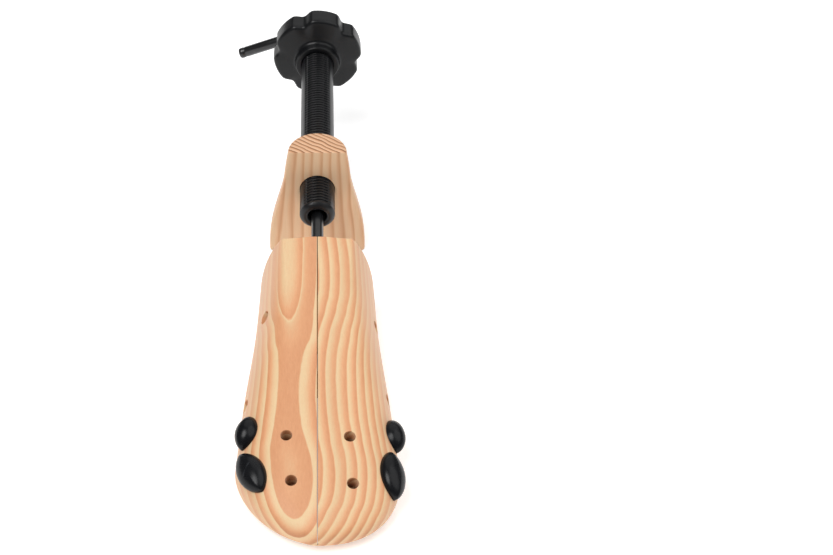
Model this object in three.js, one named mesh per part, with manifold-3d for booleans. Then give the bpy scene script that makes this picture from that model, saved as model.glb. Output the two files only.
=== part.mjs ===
// A two-way wooden shoe stretcher: a heel block and a split toe block on one threaded tube.
// Millimetres. +Z is up, +Y runs from the toe to the heel, +X is the big-toe side.
// The origin is the middle of the heel block's flat sole face.
import * as THREE from "three";
import { mergeVertices } from "three/addons/utils/BufferGeometryUtils.js";
import Module from "manifold-3d";

// ---- Driving dimensions ----

const CLEARANCE = 0.3;
const AXIS_HEIGHT = 49;
const AXIS_TILT = THREE.MathUtils.degToRad(6);

const HEEL_FRONT = -22;
const HEEL_HEIGHT = 74;
const HEEL_HALF_WIDTHS = [29.6, 29.4, 28.2, 25.7, 22.9, 20.5, 19.1, 17.4];
const HEEL_DEPTHS = [44, 46, 46, 43, 37.5, 31, 25.5, 21];
const HEEL_SOLE_EDGE = 1.5;

const TUBE_RADIUS = 10.5;
const TUBE_FRONT = 46;
const TUBE_REAR = -114;
const TUBE_CHAMFER = 2.5;
const TUBE_MOUTH_RADIUS = 5.5;
const TUBE_MOUTH_DEPTH = 16;
const ROD_RADIUS = 3.6;

const KNOB_RADIUS = 29.5;
const KNOB_FRONT = -109.2;
const KNOB_THICKNESS = 15;
const KNOB_LOBES = 6;
const KNOB_VALLEY_DEPTH = 3.2;
const KNOB_VALLEY_HALF_ANGLE = 15;
const KNOB_FIRST_VALLEY = 50;

const LEVER_AXIS = -142.5;
const LEVER_LENGTH = 58;
const LEVER_DROOP = THREE.MathUtils.degToRad(21);
const LEVER_BEND = 5;

const TOE_REAR = -80;
const TOE_BALL = -218;
const TOE_TIP = -260.5;
const TOE_CRESTS = [57.5, 51, 43.5, 35.5, 27.5, 20];
const TOE_BELLIES = [15, 14, 13, 12, 10.5, 9];
const TOE_SHOULDERS = [0.6, 0.5, 0.4, 0.34, 0.3, 0.3];
const TOE_CORNERS = [1.2, 1.5, 1.8, 2, 2.1, 2.1];
const TOE_SOLE_EDGE = 10;
const TOE_SPRING = 2.5;
const LATERAL = { toward: -1, halfWidths: [33, 34.9, 39.2, 42], nose: 1.68 };
const MEDIAL = { toward: 1, halfWidths: [32.8, 34.6, 38.6, 42.2], nose: 2.3 };
const SEAM_HALF_GAP = 0.15;

const SPREAD = 10;
const WEDGE_TRAVEL = 30;
const WEDGE_REAR = 115;
const WEDGE_LENGTH = 39;
const WEDGE_PLATE_HALF = 3;
const DRIVE_PIN_RADIUS = 2.5;
const DRIVE_PIN_X = 9;
const DRIVE_PIN_FORWARD = 119.5;
const FRAME_HALF_WIDTH = 5.8;
const FRAME_TOP_OF_BAR = -7.6;
const FRAME_BOTTOM = -16;
const FRAME_REAR = 87;
const LUG_REAR = 158.2;
const LUG_FRONT = 170;
const GUIDE_PIN_RADIUS = 2.5;
const GUIDE_PIN_DROP = -12;
const GUIDE_PINS = { front: { forward: 164, half: 30 }, rear: { forward: 95, half: 26.5 } };

const PLUG_PEG = { radius: 2.7, length: 8 };
const HOLE_DEPTH = 9;

// ---- Materials ----

const FINISHES = {
  pine: { color: 0xe3b583, roughness: 0.55, metalness: 0 },
  blackPlastic: { color: 0x17181a, roughness: 0.28, metalness: 0 },
  tubePlastic: { color: 0x1b1c1e, roughness: 0.42, metalness: 0 },
  blackSteel: { color: 0x1d1e20, roughness: 0.38, metalness: 0.6 },
  zincSteel: { color: 0xa9adb0, roughness: 0.35, metalness: 0.9 },
  brass: { color: 0xb08d4a, roughness: 0.35, metalness: 0.9 },
};

// ---- Solids ----

const wasm = await Module();
wasm.setup();

// A closed three.js geometry as a solid that can be cut and joined.
function solid(geometry) {
  const bare = geometry.clone();
  bare.deleteAttribute("normal");
  bare.deleteAttribute("uv");
  const welded = mergeVertices(bare, 1e-4);
  const corners = welded.index.array;
  const triVerts = [];
  for (let i = 0; i < corners.length; i += 3) {
    const [a, b, c] = [corners[i], corners[i + 1], corners[i + 2]];
    if (a !== b && b !== c && c !== a) triVerts.push(a, b, c);
  }
  return new wasm.Manifold(new wasm.Mesh({
    numProp: 3,
    vertProperties: Float32Array.from(welded.attributes.position.array),
    triVerts: Uint32Array.from(triVerts),
  }));
}

// A solid back as a three.js geometry.
function geometryOf(body) {
  const mesh = body.getMesh();
  const geometry = new THREE.BufferGeometry();
  geometry.setAttribute("position", new THREE.BufferAttribute(mesh.vertProperties, 3));
  geometry.setIndex(new THREE.BufferAttribute(mesh.triVerts, 1));
  return geometry;
}

function cutAway(body, tools) {
  return tools.reduce((left, tool) => left.subtract(tool), body);
}

// A closed skin over rings of points that all hold the same number of points.
function loft(rings) {
  const count = rings[0].length;
  const points = rings.flat();
  const faces = [];
  for (let r = 0; r + 1 < rings.length; r += 1) {
    for (let i = 0; i < count; i += 1) {
      const next = (i + 1) % count;
      const [a, b] = [r * count + i, r * count + next];
      const [c, d] = [a + count, b + count];
      faces.push(a, b, d, a, d, c);
    }
  }
  for (const [ring, start, turned] of [[rings[0], 0, true], [rings.at(-1), (rings.length - 1) * count, false]]) {
    const middle = ring.reduce((sum, p) => sum.add(p), new THREE.Vector3()).divideScalar(count);
    points.push(middle);
    for (let i = 0; i < count; i += 1) {
      const [a, b] = [start + i, start + (i + 1) % count];
      faces.push(...(turned ? [points.length - 1, b, a] : [points.length - 1, a, b]));
    }
  }
  const geometry = new THREE.BufferGeometry().setFromPoints(points);
  geometry.setIndex(signedVolume(points, faces) < 0 ? faces.reverse() : faces);
  return geometry;
}

function signedVolume(points, faces) {
  let total = 0;
  const across = new THREE.Vector3();
  for (let i = 0; i < faces.length; i += 3) {
    const [a, b, c] = [points[faces[i]], points[faces[i + 1]], points[faces[i + 2]]];
    total += a.dot(across.crossVectors(b, c));
  }
  return total;
}

// A smooth value along evenly spaced values, for a share from 0 to 1 of the way.
function through(values, share) {
  const last = values.length - 1;
  const at = THREE.MathUtils.clamp(share, 0, 1) * last;
  const i = Math.min(Math.floor(at), last - 1);
  const f = at - i;
  const before = values[i - 1] ?? 2 * values[i] - values[i + 1];
  const after = values[i + 2] ?? 2 * values[i + 1] - values[i];
  const leave = (values[i + 1] - before) / 2;
  const arrive = (after - values[i]) / 2;
  const rise = values[i + 1] - values[i];
  return values[i] + f * (leave + f * (3 * rise - 2 * leave - arrive + f * (leave + arrive - 2 * rise)));
}

// How much of full size is left at a share of the way into a rounded end.
function roundedEnd(share, exponent) {
  const clamped = THREE.MathUtils.clamp(share, 0, 1);
  return (1 - clamped ** exponent) ** (1 / exponent);
}

// ---- Pieces on the tilted axis: x across, y up from the axis, z forward along it ----

const onAxis = new THREE.Matrix4().makeBasis(
  new THREE.Vector3(1, 0, 0),
  new THREE.Vector3(0, -Math.sin(AXIS_TILT), Math.cos(AXIS_TILT)),
  new THREE.Vector3(0, -Math.cos(AXIS_TILT), -Math.sin(AXIS_TILT)),
).setPosition(0, 0, AXIS_HEIGHT);

function placed(geometry) {
  return solid(geometry.applyMatrix4(onAxis));
}

// A round bar along z.
function barGeometry(radius, from, to, sides) {
  return new THREE.CylinderGeometry(radius, radius, to - from, sides)
    .rotateX(Math.PI / 2)
    .translate(0, 0, (from + to) / 2);
}

function bar(radius, from, to, sides = 28) {
  return placed(barGeometry(radius, from, to, sides));
}

// A round bar across the axis, along x or along y.
function crossBar(direction, radius, half, y, z, sides = 20) {
  const geometry = new THREE.CylinderGeometry(radius, radius, 2 * half, sides);
  if (direction === "x") geometry.rotateZ(Math.PI / 2);
  return placed(geometry.translate(0, y, z));
}

function block([x0, x1], [y0, y1], [z0, z1]) {
  const geometry = new THREE.BoxGeometry(x1 - x0, y1 - y0, z1 - z0);
  return placed(geometry.translate((x0 + x1) / 2, (y0 + y1) / 2, (z0 + z1) / 2));
}

// A flat plate with its outline in x and z, standing between two heights of y.
function plate(outline, low, high) {
  const shape = new THREE.Shape(outline.map(([x, z]) => new THREE.Vector2(x, z)));
  const geometry = new THREE.ExtrudeGeometry(shape, { depth: high - low, bevelEnabled: false });
  return placed(geometry.rotateX(Math.PI / 2).translate(0, high, 0));
}

// A turned solid from a profile of [radius, forward] points that starts and ends on the axis.
function turned(profile, sides = 40) {
  const points = profile.map(([radius, forward]) => new THREE.Vector2(radius, forward));
  return placed(new THREE.LatheGeometry(points, sides).rotateX(Math.PI / 2));
}

// ---- Heel block and its nut ----

const NUT_RADIUS = 13;
const NUT_REAR = -2;
const NUT_FRONT = 16;
const NUT_SCREW_FORWARD = 9;
const TUBE_BORE = TUBE_RADIUS + CLEARANCE;

function heelBlock() {
  const rings = [];
  const edge = HEEL_SOLE_EDGE;
  const heights = [0, 0.13 * edge, 0.5 * edge, edge];
  for (let k = 1; k <= 14; k += 1) heights.push(THREE.MathUtils.lerp(edge, HEEL_HEIGHT, k / 14));
  for (const height of heights) {
    const inset = edge * (1 - roundedEnd(1 - height / edge, 2));
    const half = through(HEEL_HALF_WIDTHS, height / HEEL_HEIGHT) - inset;
    const depth = through(HEEL_DEPTHS, height / HEEL_HEIGHT) - inset;
    rings.push(heelOutline(half, depth, height));
  }
  return cutAway(solid(loft(rings)), [
    bar(TUBE_BORE + CLEARANCE, -60, 60, 40),
    bar(NUT_RADIUS + CLEARANCE, -60, NUT_FRONT + CLEARANCE, 40),
    nutScrew(0.25),
  ]);
}

// A flat front edge with an oval back, seen from above.
function heelOutline(half, depth, height) {
  const ring = [];
  const steps = 22;
  for (let i = 0; i <= steps; i += 1) {
    const angle = Math.PI * (i / steps);
    ring.push(new THREE.Vector3(half * Math.cos(angle), HEEL_FRONT + depth * Math.sin(angle), height));
  }
  return ring;
}

function heelNut() {
  return cutAway(bar(NUT_RADIUS, NUT_REAR, NUT_FRONT, 40), [
    bar(TUBE_BORE, -60, 60, 40),
    nutScrew(0.15),
  ]);
}

// The long screw that pins the nut from below. Its well runs on down through the sole.
function nutScrew(grow) {
  const head = -(AXIS_HEIGHT - 12);
  const tip = -(TUBE_BORE + 0.6) + grow;
  const profile = [
    [0, head - 60 * grow],
    [3.4 + grow, head - 60 * grow],
    [3.4 + grow, head + 3],
    [1.7 + grow, head + 3],
    [1.7 + grow, tip],
    [0, tip],
  ];
  const points = profile.map(([radius, up]) => new THREE.Vector2(radius, up));
  return placed(new THREE.LatheGeometry(points, 16).translate(0, 0, NUT_SCREW_FORWARD));
}

// ---- Tube, knob and rod ----

const SET_SCREW_FORWARD = KNOB_FRONT + 4.6;
const SET_SCREW_RADIUS = 2;

function threadedTube() {
  const body = turned([
    [0, TUBE_REAR],
    [TUBE_RADIUS, TUBE_REAR],
    [TUBE_RADIUS, TUBE_FRONT - TUBE_CHAMFER],
    [TUBE_RADIUS - TUBE_CHAMFER, TUBE_FRONT],
    [0, TUBE_FRONT],
  ], 40);
  return cutAway(body, [
    bar(ROD_RADIUS + 0.5, -200, 100),
    bar(TUBE_MOUTH_RADIUS, TUBE_FRONT - TUBE_MOUTH_DEPTH, 100),
    setScrew(0.15),
  ]);
}

function setScrew(grow) {
  const from = 6.8 - grow;
  const to = 15.2 + 6 * grow;
  const geometry = new THREE.CylinderGeometry(SET_SCREW_RADIUS + grow, SET_SCREW_RADIUS + grow, to - from, 16);
  return placed(geometry.translate(0, -(from + to) / 2, SET_SCREW_FORWARD));
}

// One lobed ring of the knob. Lobing fades from 1 at the rim to 0 at the round hub.
function knobRing(radius, lobing, forward) {
  const ring = [];
  const steps = 10 * KNOB_LOBES;
  const pitch = 360 / KNOB_LOBES;
  for (let i = 0; i < steps; i += 1) {
    const degrees = (i / steps) * 360;
    const fromValley = Math.abs(((((degrees - KNOB_FIRST_VALLEY) % pitch) + 1.5 * pitch) % pitch) - pitch / 2);
    const dip = fromValley < KNOB_VALLEY_HALF_ANGLE
      ? Math.cos((Math.PI / 2) * (fromValley / KNOB_VALLEY_HALF_ANGLE)) ** 2
      : 0;
    const r = radius - KNOB_VALLEY_DEPTH * dip * lobing;
    const angle = THREE.MathUtils.degToRad(degrees);
    ring.push(new THREE.Vector3(r * Math.cos(angle), r * Math.sin(angle), forward));
  }
  return ring;
}

function knob() {
  const back = KNOB_FRONT - KNOB_THICKNESS;
  const body = placed(loft([
    knobRing(KNOB_RADIUS - 3, 1, back),
    knobRing(KNOB_RADIUS - 1, 1, back + 0.7),
    knobRing(KNOB_RADIUS, 1, back + 2.8),
    knobRing(KNOB_RADIUS, 1, KNOB_FRONT - 2.8),
    knobRing(KNOB_RADIUS - 1, 1, KNOB_FRONT - 0.7),
    knobRing(KNOB_RADIUS - 3, 0.9, KNOB_FRONT),
    knobRing(KNOB_RADIUS - 8, 0.3, KNOB_FRONT + 0.9),
    knobRing(15.5, 0, KNOB_FRONT + 2.2),
    knobRing(14.6, 0, KNOB_FRONT + 3.4),
    knobRing(14.2, 0, KNOB_FRONT + 7),
    knobRing(13.2, 0, KNOB_FRONT + 8),
  ]));
  return cutAway(body, [
    bar(TUBE_RADIUS + 0.15, TUBE_REAR - 0.2, 0, 40),
    bar(ROD_RADIUS + 0.5, -200, 0),
    setScrew(0.15),
  ]);
}

const THRUST_COLLAR = { from: 30.3, to: 35.5, radius: 5 };
const WASHER = { from: KNOB_FRONT - KNOB_THICKNESS - 1.3, to: KNOB_FRONT - KNOB_THICKNESS - 0.3 };
const STOP_COLLAR = { from: WASHER.from - 6.3, to: WASHER.from - 0.3, radius: 7 };
const COLLAR_PIN_RADIUS = 1;

function collar({ from, to, radius }) {
  return cutAway(bar(radius, from, to), [
    bar(ROD_RADIUS + 0.1, -200, 100, 24),
    collarPin({ from, to, radius }, 0.1),
  ]);
}

function collarPin({ from, to, radius }, grow) {
  return crossBar("y", COLLAR_PIN_RADIUS + grow, radius - 0.3 + 10 * grow, 0, (from + to) / 2, 12);
}

function thrustWasher() {
  return bar(8, WASHER.from, WASHER.to).subtract(bar(ROD_RADIUS + 0.3, -200, 0, 24));
}

const JOURNAL_RADIUS = 2.9;
const GROOVE = { from: 170.6, to: 171.8, radius: 2.3 };
const ROD_TIP = 175;

// The steel rod: a journal at the front, then straight back and bent over as the lever.
function spindleRod() {
  const lever = new THREE.Vector3(-Math.cos(LEVER_DROOP), -Math.sin(LEVER_DROOP), 0);
  const forward = new THREE.Vector3(0, 0, 1);
  const side = new THREE.Vector3().crossVectors(forward, lever);
  const rings = [];
  const ring = (at, across, radius) => {
    const points = [];
    for (let i = 0; i < 20; i += 1) {
      const angle = (i / 20) * 2 * Math.PI;
      points.push(at.clone()
        .addScaledVector(across, radius * Math.cos(angle))
        .addScaledVector(side, radius * Math.sin(angle)));
    }
    rings.push(points);
  };
  const shoulder = LUG_REAR - CLEARANCE;
  for (const [z, radius] of [
    [ROD_TIP, JOURNAL_RADIUS - 0.8], [ROD_TIP - 0.8, JOURNAL_RADIUS],
    [GROOVE.to, JOURNAL_RADIUS], [GROOVE.to, GROOVE.radius],
    [GROOVE.from, GROOVE.radius], [GROOVE.from, JOURNAL_RADIUS],
    [shoulder, JOURNAL_RADIUS], [shoulder, ROD_RADIUS],
  ]) ring(forward.clone().multiplyScalar(z), lever, radius);
  for (let k = 0; k <= 6; k += 1) {
    const turn = (Math.PI / 2) * (k / 6);
    const at = forward.clone().multiplyScalar(LEVER_AXIS + LEVER_BEND * (1 - Math.sin(turn)));
    at.addScaledVector(lever, LEVER_BEND * (1 - Math.cos(turn)));
    const across = lever.clone().multiplyScalar(Math.cos(turn)).addScaledVector(forward, Math.sin(turn));
    ring(at, across, ROD_RADIUS);
  }
  for (const [along, radius] of [
    [LEVER_LENGTH - 5, ROD_RADIUS], [LEVER_LENGTH - 4.6, ROD_RADIUS - 0.4],
    [LEVER_LENGTH - 3.8, ROD_RADIUS - 0.4], [LEVER_LENGTH - 3.4, ROD_RADIUS],
    [LEVER_LENGTH - 0.8, ROD_RADIUS], [LEVER_LENGTH, ROD_RADIUS - 0.8],
  ]) {
    ring(forward.clone().multiplyScalar(LEVER_AXIS).addScaledVector(lever, along), forward, radius);
  }
  return cutAway(placed(loft(rings)), [
    collarPin(THRUST_COLLAR, 0.1),
    collarPin(STOP_COLLAR, 0.1),
  ]);
}

// ---- Spreading mechanism inside the toe block ----

// An L-shaped carrier: a front lug that holds the rod's journal, and a bar under the wedge.
function spreaderFrame() {
  const lug = block([-FRAME_HALF_WIDTH, FRAME_HALF_WIDTH], [FRAME_BOTTOM, 6.5], [LUG_REAR, LUG_FRONT]);
  const rail = block(
    [-FRAME_HALF_WIDTH, FRAME_HALF_WIDTH],
    [FRAME_BOTTOM, FRAME_TOP_OF_BAR],
    [FRAME_REAR, LUG_FRONT],
  );
  return cutAway(lug.add(rail), [
    bar(JOURNAL_RADIUS + 0.2, 150, 200, 24),
    guidePin(GUIDE_PINS.front, 0.1),
    guidePin(GUIDE_PINS.rear, 0.1),
  ]);
}

function guidePin({ forward, half }, grow) {
  return crossBar("x", GUIDE_PIN_RADIUS + grow, half + grow, GUIDE_PIN_DROP, forward);
}

function circlip() {
  const ring = bar(5.2, GROOVE.from + 0.1, GROOVE.to - 0.1, 24);
  return cutAway(ring, [
    bar(GROOVE.radius + 0.15, 150, 200, 24),
    block([-1.6, 1.6], [-8, 0], [160, 180]),
  ]);
}

// A flat wedge on the rod's thread, with a slanted slot for each half's drive pin.
function wedgeNut() {
  const front = WEDGE_REAR + WEDGE_LENGTH;
  const body = plate(
    [[-14, WEDGE_REAR], [14, WEDGE_REAR], [24, front], [-24, front]],
    -WEDGE_PLATE_HALF,
    WEDGE_PLATE_HALF,
  ).add(block([-5.8, 5.8], [-7, 6.5], [WEDGE_REAR, front]));
  return cutAway(body, [
    bar(ROD_RADIUS + 0.2, 80, 200),
    driveSlot(-1),
    driveSlot(1),
  ]);
}

function driveSlot(side) {
  const radius = DRIVE_PIN_RADIUS + CLEARANCE;
  const along = Math.atan2(WEDGE_TRAVEL, SPREAD);
  const outline = [];
  for (const [turn, x, z] of [
    [along - Math.PI / 2, DRIVE_PIN_X + SPREAD, DRIVE_PIN_FORWARD + WEDGE_TRAVEL],
    [along + Math.PI / 2, DRIVE_PIN_X, DRIVE_PIN_FORWARD],
  ]) {
    for (let i = 0; i <= 8; i += 1) {
      const angle = turn + Math.PI * (i / 8);
      outline.push([side * (x + radius * Math.cos(angle)), z + radius * Math.sin(angle)]);
    }
  }
  return plate(side > 0 ? outline : outline.reverse(), -10, 10);
}

function drivePin(side, grow) {
  const [low, high] = [-24 - 160 * grow, 9 + grow];
  const geometry = new THREE.CylinderGeometry(DRIVE_PIN_RADIUS + grow, DRIVE_PIN_RADIUS + grow, high - low, 20);
  return placed(geometry.translate(side * DRIVE_PIN_X, (low + high) / 2, DRIVE_PIN_FORWARD));
}

// ---- Toe block ----

// The sizes of the toe block's cross-section at one place along its length.
function toeSizes(side, y, grow) {
  const length = TOE_REAR - TOE_TIP;
  const share = (TOE_REAR - y) / length;
  const body = (TOE_REAR - y) / (TOE_REAR - TOE_BALL);
  const nose = (TOE_BALL - y) / (TOE_BALL - TOE_TIP);
  const belly = through(TOE_BELLIES, share);
  const width = through(side.halfWidths, body) * roundedEnd(nose, side.nose) + grow;
  const crest = belly + (through(TOE_CRESTS, share) - belly) * roundedEnd((share - 0.8) / 0.2, 2.4) + grow;
  const spring = TOE_SPRING * THREE.MathUtils.clamp(nose, 0, 1) ** 2;
  const sole = belly - (belly - spring) * roundedEnd(nose, 3.5) - grow;
  return {
    width,
    belly,
    crest,
    sole,
    shoulder: width * through(TOE_SHOULDERS, share),
    corner: through(TOE_CORNERS, share),
  };
}

// A point on one side of the toe block, from 0 at the belly line to 1 at the crest.
const CROWN_START = 0.7;
function toePoint(side, y, around, grow = 0) {
  const s = toeSizes(side, y, grow);
  let x = s.shoulder * (1 - around) / (1 - CROWN_START);
  let rise = 1 - 0.035 * THREE.MathUtils.smoothstep(x, 0, s.shoulder);
  if (around < CROWN_START) {
    const angle = (Math.PI / 2) * (around / CROWN_START);
    x = s.shoulder + (s.width - s.shoulder) * Math.cos(angle) ** (2 / s.corner);
    rise = 0.965 * Math.sin(angle);
  }
  return new THREE.Vector3(side.toward * x, y, s.belly + (s.crest - s.belly) * rise);
}

// One side of a cross-section, from the middle of the sole up to just short of the crest.
function toeSide(side, y, grow) {
  const s = toeSizes(side, y, grow);
  const edge = Math.min(TOE_SOLE_EDGE, s.width);
  const points = [new THREE.Vector3(0, y, s.sole), new THREE.Vector3(side.toward * (s.width - edge) / 2, y, s.sole)];
  for (let i = 0; i < 4; i += 1) {
    const angle = (Math.PI / 2) * (1 - i / 4);
    const x = s.width - edge + edge * Math.cos(angle);
    points.push(new THREE.Vector3(side.toward * x, y, s.belly - (s.belly - s.sole) * Math.sin(angle)));
  }
  for (let i = 0; i < 12; i += 1) {
    points.push(toePoint(side, y, i / 12, grow));
  }
  return points;
}

function toeBlock(grow) {
  const rings = [];
  const body = 12;
  const nose = 10;
  for (let k = 0; k <= body + nose; k += 1) {
    const y = k < body
      ? THREE.MathUtils.lerp(TOE_REAR + grow, TOE_BALL, k / body)
      : TOE_BALL + (TOE_TIP - grow - TOE_BALL) * Math.sin((Math.PI / 2) * ((k - body) / nose) * 0.985);
    const right = toeSide(MEDIAL, y, grow);
    const left = toeSide(LATERAL, y, grow);
    rings.push([...right, toePoint(MEDIAL, y, 1, grow), ...left.slice(1).reverse()]);
  }
  return solid(loft(rings));
}

// The frame of a seat on the toe block's skin: z stands out and x points forward along the seat.
// Each end of a seat is [y, how far round from the belly line to the crest].
function seat({ side, rear, front }) {
  const [y, around] = [(rear[0] + front[0]) / 2, (rear[1] + front[1]) / 2];
  const along = toePoint(side, ...front).sub(toePoint(side, ...rear));
  const lengthwise = toePoint(side, y - 0.5, around).sub(toePoint(side, y + 0.5, around));
  const upward = toePoint(side, y, around + 0.01).sub(toePoint(side, y, around - 0.01));
  const out = new THREE.Vector3().crossVectors(lengthwise, upward).normalize();
  if (out.x * side.toward < 0) out.negate();
  const across = new THREE.Vector3().crossVectors(out, along).normalize();
  along.crossVectors(across, out);
  return new THREE.Matrix4().makeBasis(along, across, out).setPosition(toePoint(side, y, around));
}

const REAR_PLUG = [19.2, 13, 6.6];
const FRONT_PLUG = [26, 15, 5.5];
const PLUG_SEATS = {
  plug_left_rear: { side: LATERAL, rear: [-193, 0.33], front: [-210, 0.23], size: REAR_PLUG },
  plug_left_front: { side: LATERAL, rear: [-213.6, 0.26], front: [-238.5, 0.41], size: FRONT_PLUG },
  plug_right_rear: { side: MEDIAL, rear: [-190.6, 0.19], front: [-207.8, 0.13], size: REAR_PLUG },
  plug_right_front: { side: MEDIAL, rear: [-213.8, 0.32], front: [-237.8, 0.17], size: FRONT_PLUG },
};

// Empty holes that take the plugs in other places.
const CREST_HOLES = {
  radius: 2.9,
  at: [[LATERAL, -208.6, 0.66], [LATERAL, -233.8, 0.67], [MEDIAL, -209.2, 0.65], [MEDIAL, -235.2, 0.615]],
};
const SIDE_HOLES = {
  radius: 3.7,
  at: [[LATERAL, -126.4, 0.33], [LATERAL, -178.6, 0.15], [MEDIAL, -123.9, 0.18], [MEDIAL, -173.4, 0.12]],
};

function spareBores(wanted) {
  return [CREST_HOLES, SIDE_HOLES].flatMap(({ radius, at }) => at
    .filter(([side]) => side === wanted)
    .map(([side, y, around]) => seatBore({ side, rear: [y + 1, around], front: [y - 1, around] }, radius)));
}

function seatBore(at, radius) {
  const geometry = new THREE.CylinderGeometry(radius, radius, HOLE_DEPTH + 6, 20).rotateX(Math.PI / 2);
  return solid(geometry.translate(0, 0, 3 - HOLE_DEPTH / 2).applyMatrix4(seat(at)));
}

// Everything hollowed out of the toe block for the rod, the frame, the wedge and the pins.
function mechanismRoom() {
  const plateFront = WEDGE_REAR + WEDGE_LENGTH + 0.5;
  const plateRear = WEDGE_REAR - WEDGE_TRAVEL - 0.5;
  const half = FRAME_HALF_WIDTH + CLEARANCE;
  return [
    bar(ROD_RADIUS + 0.5, 60, LUG_FRONT + 6),
    block([-half, half], [FRAME_BOTTOM - CLEARANCE, 7], [plateRear, LUG_FRONT + CLEARANCE]),
    block([-24.4, 24.4], [-WEDGE_PLATE_HALF - CLEARANCE, WEDGE_PLATE_HALF + CLEARANCE], [plateRear, plateFront]),
    bar(6, LUG_FRONT, ROD_TIP + 2, 24),
    guidePin(GUIDE_PINS.front, CLEARANCE),
    guidePin(GUIDE_PINS.rear, CLEARANCE),
  ];
}

function toeHalf(whole, side) {
  const reach = 60;
  const keep = new THREE.BoxGeometry(reach, 240, 120);
  keep.translate(side.toward * (SEAM_HALF_GAP + reach / 2), (TOE_REAR + TOE_TIP) / 2, 40);
  const plugs = Object.values(PLUG_SEATS).filter((at) => at.side === side);
  return cutAway(whole.intersect(solid(keep)), [
    ...mechanismRoom(),
    drivePin(side.toward, 0.1),
    ...plugs.map((at) => seatBore(at, PLUG_PEG.radius + 0.3)),
    ...spareBores(side),
  ]);
}

// A domed plug with a pointed-oval outline and a round peg.
function plug(at, grownBlock) {
  const rings = [];
  const [length, width, height] = at.size;
  const steps = 24;
  for (const [scale, z] of plugRise(height)) {
    const ring = [];
    for (let i = 0; i < steps; i += 1) {
      const angle = (i / steps) * 2 * Math.PI;
      const x = (length / 2) * Math.cos(angle);
      const y = (width / 2) * Math.sign(Math.sin(angle)) * Math.abs(Math.sin(angle)) ** 1.35;
      ring.push(new THREE.Vector3(x * scale, y * scale, z));
    }
    rings.push(ring);
  }
  const dome = solid(loft(rings).applyMatrix4(seat(at))).subtract(grownBlock);
  const peg = new THREE.CylinderGeometry(PLUG_PEG.radius, PLUG_PEG.radius, PLUG_PEG.length + 2, 16)
    .rotateX(Math.PI / 2)
    .translate(0, 0, 1 - PLUG_PEG.length / 2)
    .applyMatrix4(seat(at));
  return dome.add(solid(peg));
}

// The plug's outline scale and height, from below the wood's skin to the top of the dome.
function plugRise(height) {
  const rise = [[1, -4]];
  for (let k = 0; k <= 6; k += 1) {
    const angle = (Math.PI / 2) * (k / 6) * 0.97;
    rise.push([Math.cos(angle), height * Math.sin(angle)]);
  }
  return rise;
}

// ---- Assembly ----

const group = new THREE.Group();
group.name = "shoe_tree";

function addPiece(name, body, finish) {
  const material = new THREE.MeshStandardMaterial(FINISHES[finish]);
  material.name = finish;
  const mesh = new THREE.Mesh(geometryOf(body), material);
  mesh.name = name;
  group.add(mesh);
}

addPiece("heel_block", heelBlock(), "pine");
addPiece("heel_nut", heelNut(), "zincSteel");
addPiece("heel_nut_screw", nutScrew(0), "zincSteel");

addPiece("threaded_tube", threadedTube(), "tubePlastic");
addPiece("knob", knob(), "blackPlastic");
addPiece("knob_set_screw", setScrew(0), "blackSteel");

addPiece("spindle_rod", spindleRod(), "blackSteel");
addPiece("thrust_collar", collar(THRUST_COLLAR), "blackSteel");
addPiece("thrust_collar_pin", collarPin(THRUST_COLLAR, 0), "zincSteel");
addPiece("stop_collar", collar(STOP_COLLAR), "blackSteel");
addPiece("stop_collar_pin", collarPin(STOP_COLLAR, 0), "zincSteel");
addPiece("thrust_washer", thrustWasher(), "zincSteel");
addPiece("rod_circlip", circlip(), "blackSteel");

addPiece("spreader_frame", spreaderFrame(), "zincSteel");
addPiece("guide_pin_front", guidePin(GUIDE_PINS.front, 0), "zincSteel");
addPiece("guide_pin_rear", guidePin(GUIDE_PINS.rear, 0), "zincSteel");
addPiece("wedge_nut", wedgeNut(), "brass");

const wholeToe = toeBlock(0);
const grownToe = toeBlock(CLEARANCE);
for (const [name, side] of [["left", LATERAL], ["right", MEDIAL]]) {
  addPiece(`toe_half_${name}`, toeHalf(wholeToe, side), "pine");
  addPiece(`drive_pin_${name}`, drivePin(side.toward, 0), "zincSteel");
}
for (const [name, at] of Object.entries(PLUG_SEATS)) {
  addPiece(name, plug(at, grownToe), "blackPlastic");
}

export default group;
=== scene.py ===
"""The look of a two-way wooden shoe stretcher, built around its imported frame.

Blender works in metres. The sizes below are in millimetres, +Z up, +Y from the toe to the heel.
"""

import math

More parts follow.
